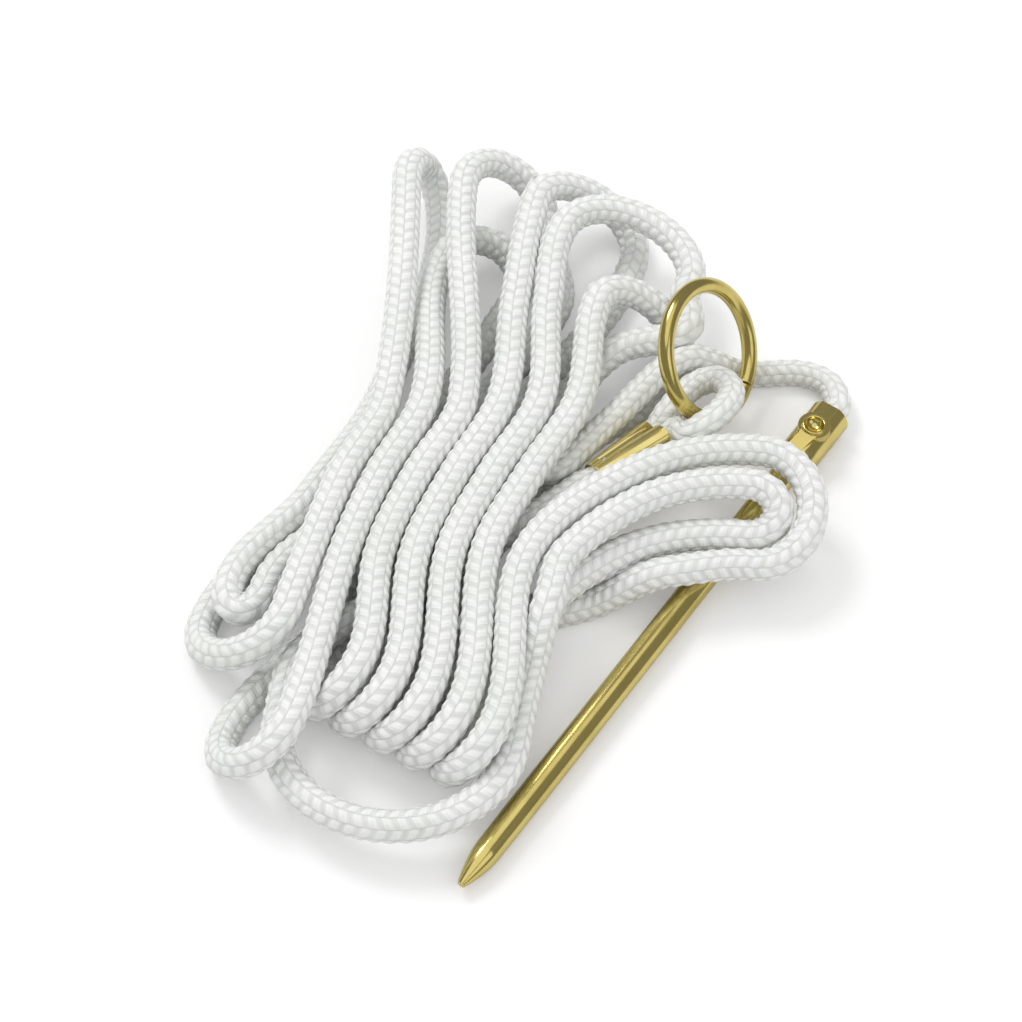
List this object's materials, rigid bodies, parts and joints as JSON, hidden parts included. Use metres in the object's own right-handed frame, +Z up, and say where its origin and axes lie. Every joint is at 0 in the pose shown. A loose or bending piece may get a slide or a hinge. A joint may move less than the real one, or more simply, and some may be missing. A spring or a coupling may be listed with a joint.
{
  "type": "fish stringer",
  "caption": "Fish stringer: a white braided cord in a loose hank, with a brass ring on a crimped eye and a pointed brass spike.",
  "frame": {"origin": "on the floor under the middle of the box round the metal pieces", "axes": "+Z up from the floor; +Y away from the viewer, along the length of the metal pieces as they lie; +X to the viewer's right"},
  "size_m": [0.1095, 0.1425, 0.0247],
  "materials": {
    "ring_brass": "polished",
    "ferrule_brass": "polished",
    "spike_brass": "polished",
    "cord": "braided"
  },
  "bodies": {
    "cord_and_spike": {"spike": "spike_brass", "ferrule": "ferrule_brass", "rope_hank": "cord", "rope_eye": "cord", "rope_lead": "cord"},
    "ring": {"ring": "ring_brass"}
  },
  "joints": [
    {"name": "ring_turn", "type": "hinge", "parent": "cord_and_spike", "child": "ring", "pos_m": [0.0086, 0.0411, 0.0141], "axis": [0.7368, -0.3885, 0.5534], "continuous": true}
  ]
}
